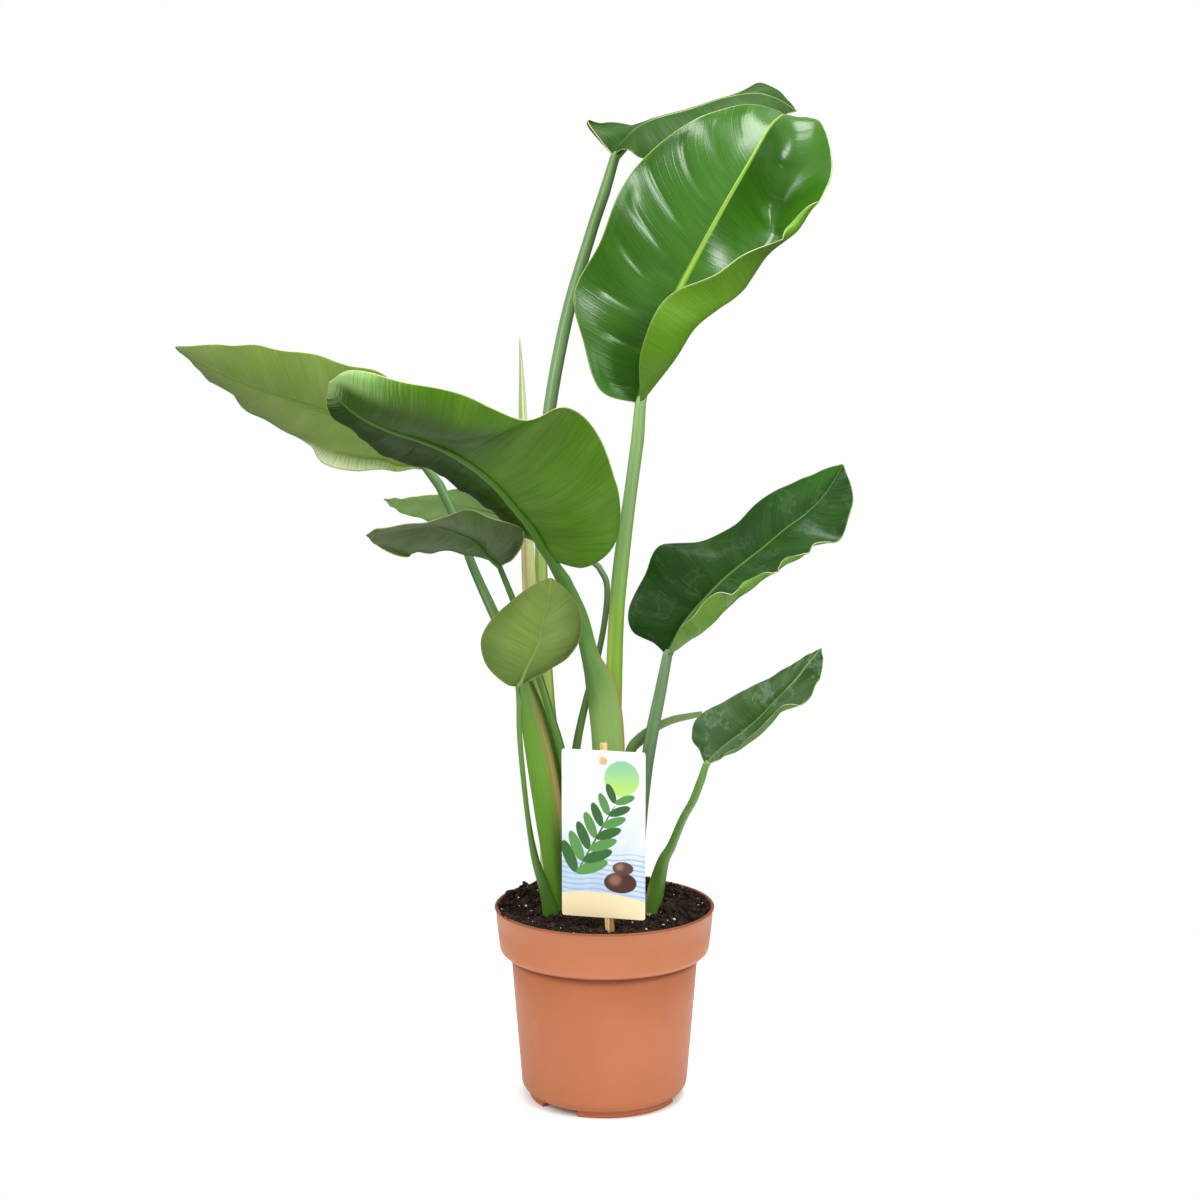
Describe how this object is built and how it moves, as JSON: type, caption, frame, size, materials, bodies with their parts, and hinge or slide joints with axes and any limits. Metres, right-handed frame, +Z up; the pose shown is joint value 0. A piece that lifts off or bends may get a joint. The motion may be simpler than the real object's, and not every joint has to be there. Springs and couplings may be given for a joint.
{
  "type": "potted plant",
  "caption": "Bird of paradise house plant with broad arching leaves on long stalks, in a terracotta-coloured nursery pot of soil with a plant label on a wooden stake.",
  "frame": {"origin": "centre of the pot's underside, on the surface it stands on", "axes": "+Z up along the pot's axis, +X to the right of the plant's front, +Y away from the front"},
  "size_m": [0.5223, 0.2526, 0.7875],
  "materials": {
    "pot_plastic": "satin",
    "soil": "matte",
    "leaf_glossy": "satin",
    "leaf_pale": "satin",
    "leaf_dull": "matte",
    "new_leaf": "satin",
    "label_card": "satin",
    "stake_wood": "matte"
  },
  "bodies": {
    "root": {"pot": "pot_plastic", "soil": "soil", "leaf_top_right": "leaf_glossy", "leaf_top_left": "leaf_glossy", "leaf_centre": "leaf_glossy", "leaf_far_left": "leaf_pale", "leaf_mid_left": "leaf_glossy", "leaf_back_left": "leaf_pale", "leaf_small_front": "leaf_pale", "leaf_right": "leaf_dull", "leaf_lower_right": "leaf_dull", "spear": "new_leaf", "bare_stalk": "leaf_dull", "tag_card": "label_card", "tag_stake": "stake_wood"}
  },
  "joints": []
}
